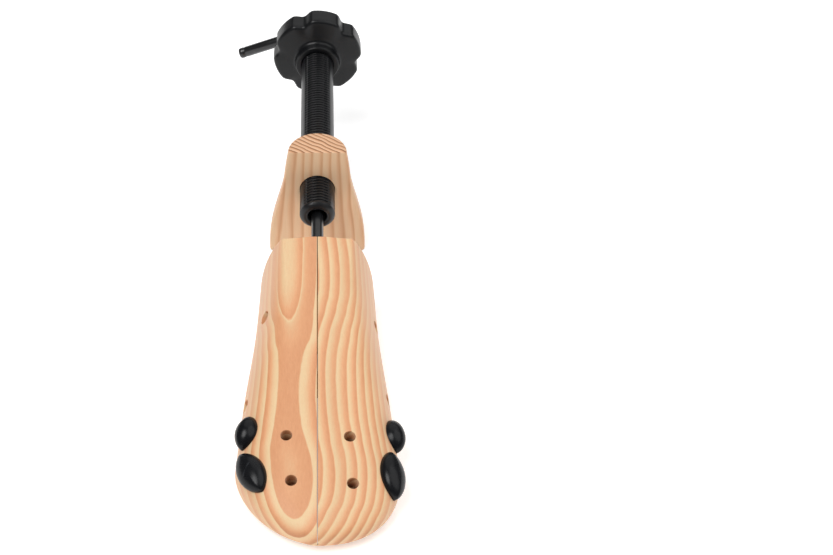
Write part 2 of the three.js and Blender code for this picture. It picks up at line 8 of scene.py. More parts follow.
import bmesh
import bpy
import numpy as np
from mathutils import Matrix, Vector


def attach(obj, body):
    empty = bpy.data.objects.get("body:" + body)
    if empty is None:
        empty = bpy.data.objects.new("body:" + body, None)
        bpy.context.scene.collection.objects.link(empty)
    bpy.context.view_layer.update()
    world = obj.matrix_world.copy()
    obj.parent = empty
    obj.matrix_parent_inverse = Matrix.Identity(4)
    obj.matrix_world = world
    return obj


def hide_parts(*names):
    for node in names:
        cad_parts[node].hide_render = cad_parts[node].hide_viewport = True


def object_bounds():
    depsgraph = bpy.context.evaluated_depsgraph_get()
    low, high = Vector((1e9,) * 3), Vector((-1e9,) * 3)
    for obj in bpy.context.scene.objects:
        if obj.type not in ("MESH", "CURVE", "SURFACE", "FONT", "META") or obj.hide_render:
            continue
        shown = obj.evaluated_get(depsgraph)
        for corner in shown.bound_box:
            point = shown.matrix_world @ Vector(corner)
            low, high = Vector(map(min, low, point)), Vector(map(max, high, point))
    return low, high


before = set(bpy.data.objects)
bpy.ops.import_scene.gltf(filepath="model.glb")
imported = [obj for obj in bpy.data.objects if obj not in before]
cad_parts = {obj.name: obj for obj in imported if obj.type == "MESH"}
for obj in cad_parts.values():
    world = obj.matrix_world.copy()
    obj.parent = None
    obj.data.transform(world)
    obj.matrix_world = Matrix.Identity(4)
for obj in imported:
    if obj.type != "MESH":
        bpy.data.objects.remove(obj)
cad_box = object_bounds()

MM = 0.001

# ---- Driving dimensions ----

AXIS_HEIGHT = 49
AXIS_TILT = math.radians(6)
CLEARANCE = 0.3

HEEL_FRONT = -22
HEEL_HEIGHT = 74
HEEL_HALF_WIDTHS = [29.6, 29.4, 28.2, 25.7, 22.9, 20.5, 19.1, 17.4]
HEEL_DEPTHS = [44, 46, 46, 43, 37.5, 31, 25.5, 21]
HEEL_SOLE_EDGE = 1.5
HEEL_TOP_EDGE = 0.7
HEEL_CORNER = 1.4
NUT_RADIUS = 13
NUT_FRONT = 16
NUT_SCREW = {"forward": 9, "head": 3.4, "shank": 1.7}

TUBE_RADIUS = 10.5
TUBE_FRONT = 46
TUBE_REAR = -114
TUBE_CHAMFER = 2.5
TUBE_LIP = 1.1
TUBE_MOUTH_RADIUS = 5.5
TUBE_MOUTH_DEPTH = 16
THREAD_PITCH = 2.4
THREAD_DEPTH = 0.85
THREAD_RECESS = 0.2

ROD_RADIUS = 3.6
ROD_TIP = 175
ROD_SHOULDER = 157.9
JOURNAL_RADIUS = 2.9
CIRCLIP_GROOVE = {"from": 170.6, "to": 171.8, "radius": 2.3}
LEVER_AXIS = -142.5
LEVER_LENGTH = 58
LEVER_DROOP = math.radians(21)
LEVER_BEND = 5

KNOB_RADIUS = 29.5
KNOB_FRONT = -109.2
KNOB_THICKNESS = 15
KNOB_LOBES = 6
KNOB_VALLEY_DEPTH = 3.2
KNOB_VALLEY_HALF_ANGLE = 15
KNOB_FIRST_VALLEY = 50
HUB_RADIUS = 15.5
RING_SPACING = 1.5

TOE_REAR = -80
TOE_BALL = -218
TOE_TIP = -260.5
TOE_CRESTS = [57.5, 51, 43.5, 35.5, 27.5, 20]
TOE_BELLIES = [15, 14, 13, 12, 10.5, 9]
TOE_SHOULDERS = [0.6, 0.5, 0.4, 0.34, 0.3, 0.3]
TOE_CORNERS = [1.2, 1.5, 1.8, 2, 2.1, 2.1]
TOE_SOLE_EDGE = 10
TOE_SPRING = 2.5
TOE_REAR_EDGE = 1.2
REAR_EDGE_STEPS = 7
LATERAL = {"toward": -1, "half_widths": [33, 34.9, 39.2, 42], "nose": 1.68}
MEDIAL = {"toward": 1, "half_widths": [32.8, 34.6, 38.6, 42.2], "nose": 2.3}
CROWN_START = 0.7
SEAM_HALF_GAP = 0.15
SEAM_EDGE = 0.5

FRAME_HALF_WIDTH = 5.8
FRAME_BOTTOM = -16
LUG_FRONT = 170
WEDGE_REAR = 115
WEDGE_FRONT = 154
WEDGE_TRAVEL = 30
GUIDE_PINS = {"drop": -12, "radius": 2.5, "at": [(164, 30), (95, 26.5)]}
DRIVE_PIN = {"radius": 2.5, "across": 9, "forward": 119.5, "top": 9}

PLUG_PEG = {"radius": 2.7, "length": 8}
HOLE_DEPTH = 10.5
HOLE_FLARE = 0.35
REAR_PLUG = (19.2, 13, 6.6)
FRONT_PLUG = (26, 15, 5.5)
PLUG_SEATS = {
    "plug_left_rear": (LATERAL, (-193, 0.33), (-210, 0.23), REAR_PLUG),
    "plug_left_front": (LATERAL, (-213.6, 0.26), (-238.5, 0.41), FRONT_PLUG),
    "plug_right_rear": (MEDIAL, (-190.6, 0.19), (-207.8, 0.13), REAR_PLUG),
    "plug_right_front": (MEDIAL, (-213.8, 0.32), (-237.8, 0.17), FRONT_PLUG),
}
CREST_HOLES = {
    "radius": 2.9,
    "at": [
        (LATERAL, -208.6, 0.66),
        (LATERAL, -233.8, 0.67),
        (MEDIAL, -209.2, 0.65),
        (MEDIAL, -235.2, 0.615),
    ],
}
SIDE_HOLES = {
    "radius": 3.7,
    "at": [
        (LATERAL, -126.4, 0.33),
        (LATERAL, -178.6, 0.15),
        (MEDIAL, -123.9, 0.18),
        (MEDIAL, -173.4, 0.12),
    ],
}


# ---- Curves ----


def through(values, share):
    """A smooth value along evenly spaced values, for a share from 0 to 1 of the way."""
    last = len(values) - 1
    at = min(max(share, 0), 1) * last
    i = min(int(at), last - 1)
    f = at - i
    before = values[i - 1] if i > 0 else 2 * values[i] - values[i + 1]
    after = values[i + 2] if i + 2 <= last else 2 * values[i + 1] - values[i]
    leave = (values[i + 1] - before) / 2
    arrive = (after - values[i]) / 2
    rise = values[i + 1] - values[i]
    return values[i] + f * (leave + f * (3 * rise - 2 * leave - arrive + f * (leave + arrive - 2 * rise)))


def rounded_end(share, exponent):
    """How much of full size is left at a share of the way into a rounded end."""
    return (1 - min(max(share, 0), 1) ** exponent) ** (1 / exponent)


def smoothstep(value, low, high):
    share = np.clip((value - low) / (high - low), 0, 1)
    return share * share * (3 - 2 * share)


def rounded(profile, steps=6):
    """A closed outline of (radius, forward) points, from corners that each give their fillet radius."""
    points = []
    for i, (*corner, fillet) in enumerate(profile):
        corner = np.array(corner, float)
        before = np.array(profile[i - 1][:2], float) - corner
        after = np.array(profile[(i + 1) % len(profile)][:2], float) - corner
        before /= np.linalg.norm(before)
        after /= np.linalg.norm(after)
        half = math.acos(np.clip(before @ after, -1, 1)) / 2
        middle = before + after
        centre = corner + middle / np.linalg.norm(middle) * fillet / math.sin(half)
        start = corner + before * fillet / math.tan(half) - centre
        end = corner + after * fillet / math.tan(half) - centre
        sweep = math.pi - 2 * half
        for k in range(steps + 1):
            share = k / steps
            arc = math.sin((1 - share) * sweep) * start + math.sin(share * sweep) * end
            points.append(tuple(centre + arc / math.sin(sweep)))
    return points


# ---- Frames of reference: columns are the local x, y and z, then the origin ----

AXIS = np.array([
    [1, 0, 0, 0],
    [0, -math.sin(AXIS_TILT), -math.cos(AXIS_TILT), 0],
    [0, math.cos(AXIS_TILT), -math.sin(AXIS_TILT), AXIS_HEIGHT],
])


def placed(points, place):
    return np.asarray(points, float) @ place[:, :3].T + place[:, 3]


# ---- Meshes ----


def make_object(name, points, faces):
    mesh = bpy.data.meshes.new(name)
    mesh.from_pydata(np.asarray(points, float) * MM, [], faces)
    shape = bmesh.new()
    shape.from_mesh(mesh)
    bmesh.ops.recalc_face_normals(shape, faces=shape.faces)
    shape.to_mesh(mesh)
    shape.free()
    made = bpy.data.objects.new(name, mesh)
    bpy.context.scene.collection.objects.link(made)
    return made


def loft(name, rings, looped=False):
    """A closed skin over rings of points. A looped one joins its last ring to its first."""
    count = len(rings[0])
    faces = []
    pairs = [(r, r + 1) for r in range(len(rings) - 1)]
    if looped:
        pairs.append((len(rings) - 1, 0))
    for low, high in pairs:
        for i in range(count):
            j = (i + 1) % count
            faces.append((low * count + i, low * count + j, high * count + j, high * count + i))
    if not looped:
        last = (len(rings) - 1) * count
        faces.append(tuple(range(count)))
        faces.append(tuple(range(last, last + count)))
    return make_object(name, np.concatenate(rings), faces)


def circle(radius, height, sides):
    angles = np.arange(sides) * (2 * math.pi / sides)
    return np.stack([radius * np.cos(angles), radius * np.sin(angles), np.full(sides, height)], 1)


def turned(name, profile, place, sides=48, looped=False):
    """A turned solid on the local z axis, from a profile of (radius, height) points."""
    return loft(name, [placed(circle(radius, height, sides), place) for radius, height in profile], looped)


def bar(radius, start, end, place=AXIS, sides=48):
    return turned("tool", [(radius, start), (radius, end)], place, sides)


def cross_bar(radius, half, y, z):
    """A round bar along the local x of the tube's axis."""
    across = AXIS.copy()
    across[:, :3] = AXIS[:, [1, 2, 0]]
    across[:, 3] = placed([0, y, z], AXIS)
    return bar(radius, -half, half, across, 32)


def upright_bar(profile, x, z):
    """A turned solid that stands square to the tube's axis."""
    upright = AXIS.copy()
    upright[:, :3] = AXIS[:, [2, 0, 1]]
    upright[:, 3] = placed([x, 0, z], AXIS)
    return turned("tool", profile, upright, 32)


def block(xs, ys, zs):
    ring = [(xs[0], ys[0]), (xs[1], ys[0]), (xs[1], ys[1]), (xs[0], ys[1])]
    return loft("tool", [placed([(x, y, z) for x, y in ring], AXIS) for z in zs])


def combine(piece, tools, operation="DIFFERENCE"):
    """Cuts the tools out of a piece, or joins them to it, and removes them."""
    for tool in tools:
        modifier = piece.modifiers.new("combine", "BOOLEAN")
        modifier.object = tool
        modifier.operation = operation
        modifier.solver = "MANIFOLD"
        depsgraph = bpy.context.evaluated_depsgraph_get()
        mesh = bpy.data.meshes.new_from_object(piece.evaluated_get(depsgraph))
        piece.modifiers.clear()
        piece.data = mesh
        bpy.data.objects.remove(tool)
    return piece


def smooth(piece, crease=32):
    piece.data.shade_smooth()
    piece.data.set_sharp_from_angle(angle=math.radians(crease))
    return piece


def finish_piece(piece, name, body, node, material):
    """Names a piece and ties it to its body, the frame's node that it stands for, and its finish."""
    piece.name = name
    piece.data.name = name
    piece.data.materials.clear()
    piece.data.materials.append(material)
    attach(piece, body)
    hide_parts(node)
    return piece


# ---- Shader formulas ----


class Value:
    """A number in a shader that can be used in a formula."""

    def __init__(self, tree, socket):
        self.tree = tree
        self.socket = socket

    def math(self, operation, *others):
        return calculate(self.tree, operation, self, *others)

    def __add__(self, other):
        return self.math("ADD", other)

    def __sub__(self, other):
        return self.math("SUBTRACT", other)

    def __mul__(self, other):
        return self.math("MULTIPLY", other)

    def __truediv__(self, other):
        return self.math("DIVIDE", other)

    def __pow__(self, other):
        return self.math("POWER", other)

    def between(self, low, high):
        """0 below low, 1 above high, and smooth from one to the other."""
        made = add_node(self.tree, "MapRange", {"Value": self, "From Min": low, "From Max": high})
        made.interpolation_type = "SMOOTHSTEP"
        return Value(self.tree, made.outputs["Result"])


def connect(tree, socket, value):
    if isinstance(value, Value):
        tree.links.new(value.socket, socket)
    elif isinstance(value, bpy.types.NodeSocket):
        tree.links.new(value, socket)
    else:
        socket.default_value = value


def add_node(tree, kind, inputs=None, **settings):
    made = tree.nodes.new("ShaderNode" + kind)
    for key, value in settings.items():
        setattr(made, key, value)
    for key, value in (inputs or {}).items():
        connect(tree, made.inputs[key], value)
    return made


def calculate(tree, operation, *values):
    made = add_node(tree, "Math", dict(enumerate(values)), operation=operation)
    return Value(tree, made.outputs[0])


def distance(a, b):
    return (a * a + b * b).math("SQRT")


def surface_point(tree):
    """The local x, y and z of the point being shaded, in millimetres."""
    place = add_node(tree, "TexCoord").outputs["Object"]
    parts = add_node(tree, "SeparateXYZ", {"Vector": place})
    return [Value(tree, parts.outputs[k]) * (1 / MM) for k in range(3)]


def noise(tree, point, stretch, detail=2.0, seed=0.0):
    """Noise from 0 to 1 whose grains are about stretch millimetres long along x, y and z."""
    scaled = [point[k] / stretch[k] for k in range(3)]
    vector = add_node(tree, "CombineXYZ", {0: scaled[0], 1: scaled[1], 2: scaled[2]})
    made = add_node(
        tree,
        "TexNoise",
        {"Vector": vector.outputs[0], "W": seed, "Scale": 1.0, "Detail": detail},
        noise_dimensions="4D",
    )
    return Value(tree, made.outputs["Fac"])


def linear(code):
    """The linear red, green, blue and alpha that a shader takes, from a hexadecimal colour."""
    parts = [int(code[k : k + 2], 16) / 255 for k in (0, 2, 4)]
    return tuple(c / 12.92 if c < 0.04045 else ((c + 0.055) / 1.055) ** 2.4 for c in parts) + (1.0,)


def ramp(tree, value, stops):
    made = add_node(tree, "ValToRGB", {"Fac": value})
    bands = made.color_ramp.elements
    while len(bands) < len(stops):
        bands.new(0.5)
    for band, (position, code) in zip(bands, stops):
        band.position = position
        band.color = linear(code)
    return made.outputs["Color"]


def mix(tree, share, a, b, blend="MIX"):
    made = add_node(tree, "Mix", {0: share, 6: a, 7: b}, data_type="RGBA", blend_type=blend)
    return made.outputs[2]


def bump(tree, height, depth, under=None):
    """A bump map whose full height is depth millimetres."""
    inputs = {"Height": height, "Strength": 1.0, "Distance": depth * MM}
    if under is not None:
        inputs["Normal"] = under
    return add_node(tree, "Bump", inputs).outputs["Normal"]


def openness(tree, reach):
    """How open the surface is, from 0 in a tight nook to 1, for what lies within reach millimetres."""
    made = add_node(tree, "AmbientOcclusion", {"Distance": reach * MM}, samples=4)
    return Value(tree, made.outputs["AO"])


def new_material(name):
    made = bpy.data.materials.new(name)
    made.use_nodes = True
    tree = made.node_tree
    return made, tree, tree.nodes["Principled BSDF"]


# ---- Wood ----

RING_WIDTH = 5.6
RING_DEPTH = 7
PITH_ROUNDNESS = 10
CREST_LINE = {"at": TOE_REAR, "height": TOE_CRESTS[0], "slope": 0.208}
HEEL_RING_WIDTH = 2.95
HEEL_RING_TAPER = 0.003
HEEL_RING_BOW = 0.002
HEEL_FIRST_RING = 40
HEEL_SLANT = math.radians(37)
TOE_COLOURS = [(0.0, "ECCC9F"), (0.3, "EABE91"), (0.65, "E8AB7E"), (1.0, "DB976B")]
HEEL_COLOURS = [(0.0, "E7C49F"), (0.3, "E3B992"), (0.65, "D7A47C"), (1.0, "C18C66")]
CUT_COLOURS = [(0.0, "EABF9A"), (0.4, "E0AB84"), (0.65, "BD875F"), (1.0, "86532F")]
# Painted sheen: a paler pink laid over the faces that look sideways, for the light that they catch at a
# slant.
PAINTED_SIDE_SHEEN = "E3BDA0"
STREAK_COLOUR = "A9683E"
# The dark brown of the painted shade in the nooks.
PAINTED_NOOK_SHADE = "5A4A3C"

# Along each half, (place, value): the ring count under the pith, and the pith's own place across.
LEFT_GRAIN = {
    "count": [(-80, 0.22), (-105, 0.3), (-122, 0.5), (-132, 0.75), (-138, 0.97), (-150, 1.2),
              (-162, 1.57), (-178, 1.65), (-200, 1.48), (-226, 1.07), (-240, 1.1), (-252, 1.35),
              (-261, 1.6)],
    "pith": [(-80, -17.6), (-115, -17.8), (-132, -16.8), (-145, -14.8), (-165, -15.3), (-200, -16),
             (-225, -14), (-245, -12.4), (-261, -12)],
}
RIGHT_GRAIN = {
    "count": [(-80, 0.7), (-261, 0.7)],
    "pith": [(-80, -15), (-110, -13.6), (-130, -16), (-150, -20.6), (-170, -22.4), (-190, -22),
             (-210, -19.8), (-235, -17), (-250, -19.5), (-261, -24)],
}


def along_toe(tree, y, knots):
    """A smooth value along the toe block, through (place, value) knots."""
    places = [place for place, _ in knots]
    values = [value for _, value in knots]
    low, span = min(values), max(max(values) - min(values), 1)
    made = add_node(tree, "FloatCurve", {"Value": (y - places[0]) / (places[-1] - places[0])})
    curve = made.mapping.curves[0]
    for _ in knots[2:]:
        curve.points.new(0.5, 0.5)
    for knot, (place, value) in zip(curve.points, knots):
        knot.location = ((place - places[0]) / (places[-1] - places[0]), (value - low) / span)
    made.mapping.update()
    return Value(tree, made.outputs[0]) * span + low


def toe_rings(grain):
    """Growth rings round a pith that lies above the block, so that long tongues show along its top."""

    def rings(tree, point):
        x, y, z = point
        across = x - along_toe(tree, y, grain["pith"])
        outward = (distance(across, PITH_ROUNDNESS) - PITH_ROUNDNESS) / RING_WIDTH
        crest = (y - CREST_LINE["at"]) * CREST_LINE["slope"] + CREST_LINE["height"]
        downward = (crest - z) / RING_DEPTH
        return along_toe(tree, y, grain["count"]) + outward + downward

    return rings


def heel_rings(tree, point):
    """Nearly flat growth rings that stand upright and cross the heel block at a slant."""
    x, y, z = point
    spread = (z - HEEL_HEIGHT) * HEEL_RING_TAPER + 1
    across = x * spread * math.sin(HEEL_SLANT) + y * math.cos(HEEL_SLANT)
    return (across * across * HEEL_RING_BOW + across) / HEEL_RING_WIDTH + HEEL_FIRST_RING


def grain_noise(tree, point, along, across, length, detail, seed):
    """Noise whose grains are drawn out along the wood."""
    stretch = [across] * 3
    stretch[along] = length
    return noise(tree, point, stretch, detail, seed)


def ring_tones(tree, rings, late_share, fall):
    """Each ring's dark line, the same with a soft outer side, and a number from 0 to 1 of its own."""
    share = rings.math("FRACT")
    ring = rings.math("FLOOR")
    core = ring.math("COMPARE", 0.0, 0.5)
    broad = ring.math("COMPARE", 1.0, 0.5)
    late = (share ** (core * 0.6 - broad * 0.72 + late_share)).between(0.05, 0.95)
    own = add_node(tree, "TexWhiteNoise", {"W": ring}, noise_dimensions="1D")
    own = Value(tree, own.outputs["Value"])
    line = late * (own * 0.2 + 0.8)
    tone = line * (share.between(fall, 1.0) * -1 + 1)
    return line, tone, own


def aged_and_nook_shaded(tree, point, colour, own, fibres):
    """A wood colour with each ring's own tint, clouds, fibres and streaks, and painted shade that darkens
    the nooks.
    """
    tint = own * 0.05 + 0.955
    cloud = noise(tree, point, (24, 40, 24), 2.0, 8.0) * 0.09 + 0.955
    shade = (fibres - 0.5) * 0.16 + 1
    grey = tint * cloud * shade
    tinted = add_node(tree, "CombineColor", {0: grey, 1: grey * 0.998, 2: grey * 0.992})
    colour = mix(tree, 1.0, colour, tinted.outputs[0], "MULTIPLY")
    colour = mix(tree, fibres.between(0.62, 0.8) * 0.12, colour, linear(STREAK_COLOUR))
    # Painted shade: where the surface is enclosed, in the seam gap, the holes and the bores, the wood is
    # darkened towards dark brown.
    nook_shade = openness(tree, 6).between(0.55, 0.05)
    return mix(tree, nook_shade * 0.75, colour, linear(PAINTED_NOOK_SHADE))


def wood(name, rings_of, along, end_grain, figure_depth, late_share, fall, colours):
    """Pine, with rings that fade from cream to orange and back, and fine fibres along the grain."""
    made, tree, shader = new_material(name)
    point = surface_point(tree)
    figure = grain_noise(tree, point, along, 9, 45, 1.0, 3.0) - 0.5
    ripple = grain_noise(tree, point, along, 1.6, 24, 1.0, 5.0) - 0.5
    threads = grain_noise(tree, point, along, 0.9, 40, 2.0, 9.0) - 0.5
    fibres = grain_noise(tree, point, along, 0.35, 14, 3.0, 1.0)
    rings = rings_of(tree, point) + figure * figure_depth + ripple * 0.07
    line, tone, own = ring_tones(tree, rings, late_share, fall)

    normal = add_node(tree, "SeparateXYZ", {"Vector": add_node(tree, "TexCoord").outputs["Normal"]})
    sideways = Value(tree, normal.outputs[0]).math("ABSOLUTE").between(0.45, 0.95)
    endways = Value(tree, normal.outputs[along]).math("ABSOLUTE").between(0.55, 0.95)
    # On the faces that look sideways the rings are toned down and blended towards the painted sheen.
    plain = (tone - 0.5) * (sideways * -0.4 + 1) + threads * 0.35 + 0.5
    face = mix(tree, sideways * 0.45, ramp(tree, plain, colours), linear(PAINTED_SIDE_SHEEN))
    colour = mix(tree, endways * end_grain, face, ramp(tree, line, CUT_COLOURS))

    connect(tree, shader.inputs["Base Color"], aged_and_nook_shaded(tree, point, colour, own, fibres))
    connect(tree, shader.inputs["Roughness"], fibres * 0.16 + 0.44 + tone * -0.06)
    shader.inputs["Specular IOR Level"].default_value = 0.42
    fibre_bump = bump(tree, fibres, 0.05)
    connect(tree, shader.inputs["Normal"], bump(tree, tone, 0.04, fibre_bump))
    return made


# ---- Plastics and metals ----


def plastic(name, code, roughness, shine, texture, speckle):
    """Moulded plastic, with a faint texture, uneven gloss, paler rubbed edges, and painted shade that dims
    the reflection in grooves.
    """
    made, tree, shader = new_material(name)
    point = surface_point(tree)
    grain = noise(tree, point, (0.5, 0.5, 0.5), 2.0, 2.0)
    cloud = noise(tree, point, (14, 14, 14), 2.0, 4.0)
    base = mix(tree, cloud * 0.6, linear(code), linear("191A1D"))
    geometry = add_node(tree, "NewGeometry")
    rub = Value(tree, geometry.outputs["Pointiness"]).between(0.53, 0.6) * cloud
    base = mix(tree, rub * 0.35, base, linear("55575B"))
    dust = noise(tree, point, (0.25, 0.25, 0.25), 1.0, 6.0).between(0.78, 0.84) * speckle
    base = mix(tree, dust, base, linear("8A8C90"))
    connect(tree, shader.inputs["Base Color"], base)
    connect(tree, shader.inputs["Roughness"], cloud * 0.12 + grain * 0.06 + (roughness - 0.09))
    # Painted shade: the reflection is dimmed where the surface is enclosed, in grooves and hollows, and it
    # is also weakened at grazing angles.
    exposed = openness(tree, 2).between(0.25, 0.95)
    grazing = Value(tree, add_node(tree, "LayerWeight", {"Blend": 0.5}).outputs["Facing"])
    sheen = exposed * (grazing * grazing * -0.75 + 1) * shine
    connect(tree, shader.inputs["Specular IOR Level"], sheen)
    connect(tree, shader.inputs["Normal"], bump(tree, grain, texture))
    return made


def metal(name, code, worn, roughness, coated):
    """Steel or brass with fine drawing lines along its length, and worn patches."""
    made, tree, shader = new_material(name)
    point = surface_point(tree)
    lines = noise(tree, point, (0.15, 6, 0.15), 2.0, 2.0)
    patches = noise(tree, point, (5, 12, 5), 3.0, 7.0)
    colour = mix(tree, patches.between(0.5, 0.75) * 0.5, linear(code), linear(worn))
    connect(tree, shader.inputs["Base Color"], colour)
    connect(tree, shader.inputs["Roughness"], lines * 0.14 + patches * 0.12 + (roughness - 0.12))
    shader.inputs["Metallic"].default_value = 0.35 if coated else 1.0
    if coated:
        shader.inputs["Coat Weight"].default_value = 0.6
        shader.inputs["Coat Roughness"].default_value = 0.22
    connect(tree, shader.inputs["Normal"], bump(tree, lines, 0.012))
    return made


LENGTHWISE = 1
UPRIGHT = 2
left_wood = wood("left_toe_pine", toe_rings(LEFT_GRAIN), LENGTHWISE, end_grain=0.3, figure_depth=0.12,
                 late_share=1.0, fall=0.93, colours=TOE_COLOURS)
right_wood = wood("right_toe_pine", toe_rings(RIGHT_GRAIN), LENGTHWISE, end_grain=0.3, figure_depth=0.2,
                  late_share=0.8, fall=0.86, colours=TOE_COLOURS)
heel_wood = wood("heel_pine", heel_rings, UPRIGHT, end_grain=1.0, figure_depth=0.9,
                 late_share=1.35, fall=0.72, colours=HEEL_COLOURS)
knob_plastic = plastic("knob_plastic", "0C0D0E", roughness=0.3, shine=0.27, texture=0.006, speckle=0.25)
plug_gloss = plastic("plug_gloss", "0A0B0E", roughness=0.27, shine=0.24, texture=0.002, speckle=0.1)
tube_satin = plastic("tube_satin", "0B0C0E", roughness=0.33, shine=0.4, texture=0.006, speckle=0.2)
black_steel = metal("black_steel", "121315", worn="2B2C2F", roughness=0.32, coated=True)
zinc_steel = metal("zinc_steel", "B4B8BB", worn="8F9396", roughness=0.34, coated=False)
brass = metal("brass_metal", "C09A52", worn="8E6E36", roughness=0.36, coated=False)


# ---- Heel block ----


def heel_outline(half, depth, height):
    """A flat front with softened corners and an oval back, seen from above."""
    front = HEEL_FRONT
    corner = HEEL_CORNER
    points = [(x, front) for x in np.linspace(corner - half, half - corner, 24, endpoint=False)]
    for turn in np.linspace(-math.pi / 2, 0, 8, endpoint=False):
        points.append((half - corner + corner * math.cos(turn), front + corner + corner * math.sin(turn)))
    for turn in np.linspace(0, math.pi, 96, endpoint=False):
        points.append((half * math.cos(turn), front + corner + (depth - corner) * math.sin(turn)))
    for turn in np.linspace(math.pi, 1.5 * math.pi, 8, endpoint=False):
        points.append((corner - half + corner * math.cos(turn), front + corner + corner * math.sin(turn)))
    return np.array([(x, y, height) for x, y in points])


def heel_block():
    sole = [HEEL_SOLE_EDGE * (1 - math.cos(turn)) for turn in np.linspace(0, math.pi / 2, 8)]
    top = [HEEL_HEIGHT - HEEL_TOP_EDGE * (1 - math.sin(turn)) for turn in np.linspace(0, math.pi / 2, 6)]
    rings = []
    for height in [*sole, *np.linspace(sole[-1], top[0], 50)[1:-1], *top]:
        inset = HEEL_SOLE_EDGE * (1 - rounded_end(1 - height / HEEL_SOLE_EDGE, 2))
        inset += HEEL_TOP_EDGE * (1 - rounded_end(1 - (HEEL_HEIGHT - height) / HEEL_TOP_EDGE, 2))
        half = through(HEEL_HALF_WIDTHS, height / HEEL_HEIGHT) - inset
        depth = through(HEEL_DEPTHS, height / HEEL_HEIGHT) - inset
        rings.append(heel_outline(half, depth, height))
    piece = loft("heel", rings)
    screw_head = 12 - AXIS_HEIGHT
    screw_room = 0.25
    well = [
        (NUT_SCREW["head"] + screw_room, -AXIS_HEIGHT - 3),
        (NUT_SCREW["head"] + screw_room, screw_head + 3),
        (NUT_SCREW["shank"] + screw_room, screw_head + 3),
        (NUT_SCREW["shank"] + screw_room, -TUBE_RADIUS),
    ]
    bore = TUBE_RADIUS + CLEARANCE
    combine(piece, [
        bar(bore, -60, 60, sides=96),
        bar(NUT_RADIUS + CLEARANCE, -60, NUT_FRONT + CLEARANCE, sides=96),
        upright_bar(well, 0, NUT_SCREW["forward"]),
    ])
    return smooth(piece)


# ---- Toe block ----


def toe_sizes(side, y, grow=0.0):
    """The sizes of the toe block's cross-section at one place along its length."""
    share = (TOE_REAR - y) / (TOE_REAR - TOE_TIP)
    body = (TOE_REAR - y) / (TOE_REAR - TOE_BALL)
    nose = (TOE_BALL - y) / (TOE_BALL - TOE_TIP)
    belly = through(TOE_BELLIES, share)
    width = through(side["half_widths"], body) * rounded_end(nose, side["nose"]) + grow
    crest = belly + (through(TOE_CRESTS, share) - belly) * rounded_end((share - 0.8) / 0.2, 2.4) + grow
    spring = TOE_SPRING * min(max(nose, 0), 1) ** 2
    sole = belly - (belly - spring) * rounded_end(nose, 3.5) - grow
    shoulder = width * through(TOE_SHOULDERS, share)
    return width, belly, crest, sole, shoulder, through(TOE_CORNERS, share)


def toe_point(side, y, around, grow=0.0):
    """A point on one side of the toe block, from 0 at the belly line to 1 at the crest."""
    width, belly, crest, _, shoulder, corner = toe_sizes(side, y, grow)
    if around < CROWN_START:
        angle = (math.pi / 2) * (around / CROWN_START)
        x = shoulder + (width - shoulder) * math.cos(angle) ** (2 / corner)
        rise = 0.965 * math.sin(angle)
    else:
        x = shoulder * (1 - around) / (1 - CROWN_START)
        rise = 1 - 0.035 * smoothstep(x, 0, shoulder)
    return np.array([side["toward"] * x, y, belly + (crest - belly) * rise])


def sole_edge(side, y, grow, steps=14):
    """The rounded lower edge, from the sole out to the belly line."""
    width, belly, _, sole, _, _ = toe_sizes(side, y, grow)
    edge = min(TOE_SOLE_EDGE, width)
    points = []
    for turn in np.linspace(0, math.pi / 2, steps, endpoint=False):
        x = width - edge + edge * math.sin(turn)
        points.append((side["toward"] * x, y, belly - (belly - sole) * math.cos(turn)))
    return points


def half_section(side, y, grow=0.0):
    """One half's cross-section: sole, lower edge, side and crown, then back down the seam."""
    width, _, _, sole, shoulder, _ = toe_sizes(side, y, grow)
    toward = side["toward"]
    edge = min(SEAM_EDGE, 0.3 * width)
    inner = SEAM_HALF_GAP + edge
    flat_end = max(width - TOE_SOLE_EDGE, inner)
    points = [(toward * x, y, sole) for x in np.linspace(inner, flat_end, 10, endpoint=False)]
    points += sole_edge(side, y, grow)
    last = 1 - (1 - CROWN_START) * min(inner / shoulder, 0.95)
    points += [toe_point(side, y, around, grow) for around in np.linspace(0, last, 84)]
    top = points[-1][2]
    for turn in np.linspace(math.pi / 2, math.pi, 6)[1:]:
        points.append((toward * (inner + edge * math.cos(turn)), y, top - edge + edge * math.sin(turn)))
    for height in np.linspace(top - edge, sole + edge, 14)[1:-1]:
        points.append((toward * SEAM_HALF_GAP, y, height))
    for turn in np.linspace(math.pi, 1.5 * math.pi, 6)[:-1]:
        points.append((toward * (inner + edge * math.cos(turn)), y, sole + edge + edge * math.sin(turn)))
    return np.array(points)


def toe_stations(grow=0.0):
    """Places along the toe block, closer together at both ends, with each one's inset."""
    rear = []
    for turn in np.linspace(math.pi / 2, 0, REAR_EDGE_STEPS):
        y = TOE_REAR + grow - TOE_REAR_EDGE * (1 - math.sin(turn))
        rear.append((y, TOE_REAR_EDGE * (1 - math.cos(turn))))
    body = [(y, 0) for y in np.linspace(rear[-1][0], TOE_BALL, 76)[1:]]
    reach = TOE_TIP - grow - TOE_BALL
    nose = [(TOE_BALL + reach * math.sin(turn), 0) for turn in np.linspace(0, math.radians(88.6), 46)[1:]]
    return rear + body + nose


